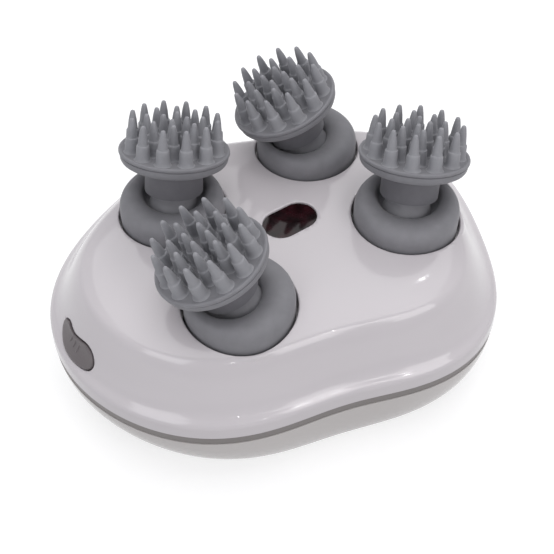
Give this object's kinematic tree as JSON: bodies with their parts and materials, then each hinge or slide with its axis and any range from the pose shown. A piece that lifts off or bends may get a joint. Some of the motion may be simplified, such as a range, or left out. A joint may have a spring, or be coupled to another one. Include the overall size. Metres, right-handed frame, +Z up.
{
  "type": "electric scalp massager",
  "caption": "Handheld electric scalp massager: oval white housing with a trim band, a side button and four turning grey claws of soft pins on leaning stems.",
  "frame": {"origin": "on the flat underside, at the centre of the outline's polar formula", "axes": "+Z up out of the hubs, +X along the long axis with the button at the -X end, +Y towards the far side in the picture"},
  "size_m": [0.1212, 0.1017, 0.0675],
  "materials": {
    "white_shell": "glossy moulded ABS, white with a faint warm grey cast",
    "grey_trim": "satin moulded ABS, mid grey",
    "grey_button": "satin moulded ABS, mid grey",
    "silicone": "matt soft-touch silicone, bluish mid grey",
    "dark_window": "polished dark red translucent plastic, near black when unlit",
    "steel": "plain steel",
    "natural_acetal": "moulded acetal, cream white",
    "inner_plastic": "moulded glass-filled nylon, light grey",
    "black_rubber": "matt nitrile rubber",
    "brass_gear": "machined brass",
    "gold_contact": "gold-plated contact",
    "board_green": "solder-masked circuit board",
    "led_red": "moulded red LED package",
    "battery_wrap": "blue shrink wrap over a lithium cell",
    "plug_white": "soft white plug",
    "switch_black": "moulded black switch"
  },
  "bodies": {
    "housing": {"lower_shell": "white_shell", "trim_band": "grey_trim", "upper_shell": "white_shell", "light_window": "dark_window", "base_plate": "inner_plastic", "cover_plate": "inner_plastic", "shaft_seals": "black_rubber", "hub_axles": "steel", "central_axle": "steel", "motor": "steel", "battery": "battery_wrap", "circuit_board": "board_green", "led_board": "board_green", "leds": "led_red", "switch_board": "board_green", "tact_switch": "switch_black", "charge_contacts": "gold_contact", "case_screws": "steel", "screw_plugs": "plug_white"},
    "central_gear_set": {"central_gear": "natural_acetal"},
    "motor_rotor": {"motor_pinion": "brass_gear", "motor_shaft": "steel"},
    "button_cap": {"button": "grey_button"},
    "front_massager": {"gear_front": "natural_acetal", "hub_front": "silicone", "claw_front": "silicone"},
    "left_massager": {"gear_left": "natural_acetal", "hub_left": "silicone", "claw_left": "silicone"},
    "right_massager": {"gear_right": "natural_acetal", "hub_right": "silicone", "claw_right": "silicone"},
    "back_massager": {"gear_back": "natural_acetal", "hub_back": "silicone", "claw_back": "silicone"}
  },
  "joints": [
    {"name": "front_hub_turn", "type": "hinge", "parent": "housing", "child": "front_massager", "pos_m": [-0.02288, -0.01651, 0.04], "axis": [0, 0, 1], "continuous": true},
    {"name": "left_hub_turn", "type": "hinge", "parent": "housing", "child": "left_massager", "pos_m": [-0.0195, 0.01933, 0.04], "axis": [0, 0, 1], "continuous": true},
    {"name": "right_hub_turn", "type": "hinge", "parent": "housing", "child": "right_massager", "pos_m": [0.02833, -0.01647, 0.04], "axis": [0, 0, 1], "continuous": true},
    {"name": "back_hub_turn", "type": "hinge", "parent": "housing", "child": "back_massager", "pos_m": [0.02288, 0.01912, 0.04], "axis": [0, 0, 1], "continuous": true},
    {"name": "central_gear_turn", "type": "hinge", "parent": "housing", "child": "central_gear_set", "pos_m": [0, 0.0013, 0.025], "axis": [0, 0, 1], "continuous": true},
    {"name": "motor_turn", "type": "hinge", "parent": "housing", "child": "motor_rotor", "pos_m": [-0.00227, -0.0246, 0.02], "axis": [0, 0, 1], "continuous": true},
    {"name": "button_press", "type": "slide", "parent": "housing", "child": "button_cap", "axis": [0.8068, -0.0593, -0.5878], "range_m": [0, 0.0008], "stiffness_N_per_m": 900}
  ],
  "couplings": [
    {"joint": "left_hub_turn", "follows": "front_hub_turn", "ratio": -1},
    {"joint": "back_hub_turn", "follows": "front_hub_turn", "ratio": 1},
    {"joint": "right_hub_turn", "follows": "front_hub_turn", "ratio": -1},
    {"joint": "central_gear_turn", "follows": "front_hub_turn", "ratio": -1.6364},
    {"joint": "motor_turn", "follows": "front_hub_turn", "ratio": 5.4545}
  ]
}
